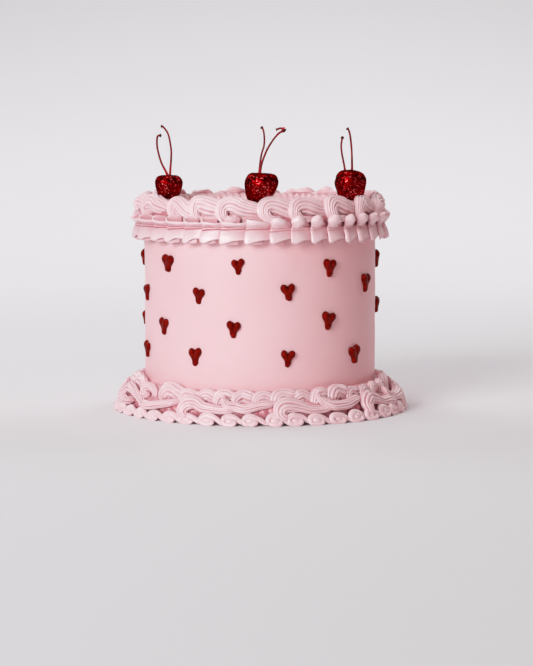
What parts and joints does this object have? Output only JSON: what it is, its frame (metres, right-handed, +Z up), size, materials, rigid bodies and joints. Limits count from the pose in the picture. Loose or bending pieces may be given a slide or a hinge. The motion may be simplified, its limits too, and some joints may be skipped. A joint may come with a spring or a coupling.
{
  "type": "coquette cake",
  "caption": "Tall round iced cake with small piped hearts, ridged scroll borders, a pleated ruffle, garlands and beads at the foot, and cherries with stems on the rim.",
  "frame": {"origin": "on the cake's axis at its flat underside", "axes": "+Z straight up along the cake's axis, -Y towards the front that the picture shows, +X to the viewer's right"},
  "size_m": [0.2124, 0.2118, 0.2011],
  "materials": {
    "side_icing": "smooth satin pink buttercream, with small red piped hearts fused to it",
    "piped_icing": "paler cool pink piped buttercream with fine ridges",
    "cherry": "dark red glazed cherry with fine red glitter and a thin red stem"
  },
  "bodies": {
    "root": {"cake_body": "side_icing", "top_ruffle": "piped_icing", "top_shells": "piped_icing", "base_shells": "piped_icing", "base_swags": "piped_icing", "base_beads": "piped_icing", "cherry_front": "cherry", "cherry_front_right": "cherry", "cherry_back_right": "cherry", "cherry_back": "cherry", "cherry_back_left": "cherry", "cherry_front_left": "cherry"}
  },
  "joints": []
}
